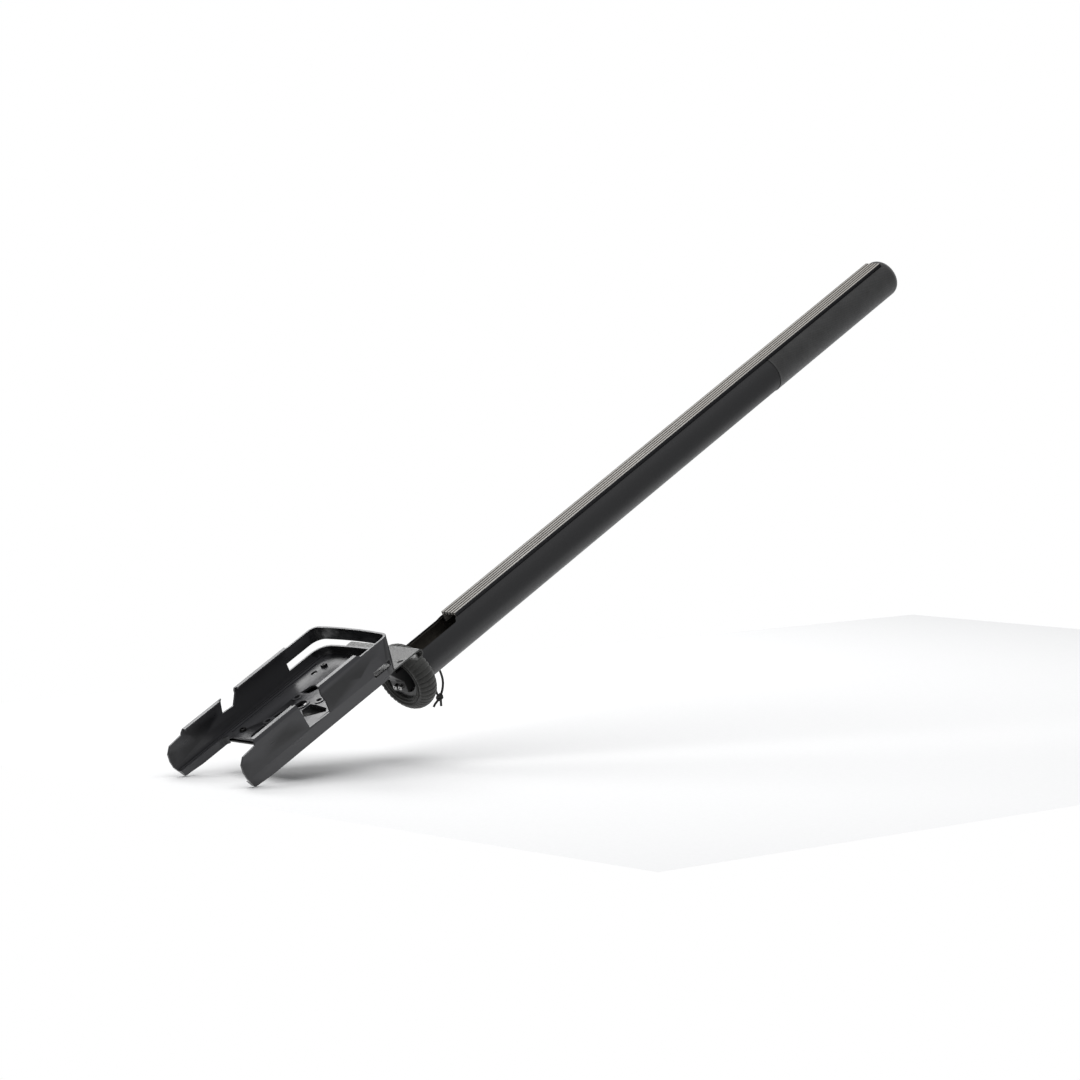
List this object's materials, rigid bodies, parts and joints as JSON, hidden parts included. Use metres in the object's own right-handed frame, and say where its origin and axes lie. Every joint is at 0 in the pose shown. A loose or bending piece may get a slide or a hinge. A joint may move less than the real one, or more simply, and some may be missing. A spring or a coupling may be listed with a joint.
{
  "type": "hand-held device boom",
  "caption": "Long hand-held boom with a rubber grip at one end and an open-ended moulded device cradle at the other.",
  "frame": {"origin": "middle of the rubber grip, on the boom tube's axis", "axes": "+Y along the boom from the cradle to the grip's end, +Z out of the cradle's open face, +X across the cradle to the side with the deep notch"},
  "size_m": [0.102, 0.9715, 0.1216],
  "materials": {
    "boom_black": "satin",
    "cover_grey": "satin",
    "grip_rubber": "matte",
    "ring_rubber": "matte",
    "carrier_black": "satin",
    "plug_black": "matte",
    "neck_black": "satin",
    "plate_aluminium": "satin",
    "screw_steel": "polished",
    "screw_black": "satin",
    "cradle_black": "semi-gloss",
    "cord_black": "matte"
  },
  "bodies": {
    "boom": {"boom_tube": "boom_black", "grip_sleeve": "grip_rubber", "end_plug": "plug_black", "hub_plug": "plug_black", "hub_pins": "screw_steel", "ring_carrier": "carrier_black", "ring_stop": "screw_black", "neck": "neck_black", "neck_screws": "screw_steel", "base_plate": "plate_aluminium", "plate_screws": "screw_black", "cradle": "cradle_black", "cradle_screws": "screw_black", "side_catch": "screw_black", "cord_loop": "cord_black", "cord_knot": "cord_black", "cord_tails": "cord_black", "cord_stops": "plug_black"},
    "ring": {"ribbed_ring": "ring_rubber"},
    "cover": {"slot_cover": "cover_grey"}
  },
  "joints": [
    {"name": "ring_spin", "type": "hinge", "parent": "boom", "child": "ring", "pos_m": [0, -0.6415, -0.004], "axis": [0, 1, 0], "continuous": true},
    {"name": "cover_slide", "type": "slide", "parent": "boom", "child": "cover", "axis": [0, -1, 0], "range_m": [0, 0.045]}
  ]
}
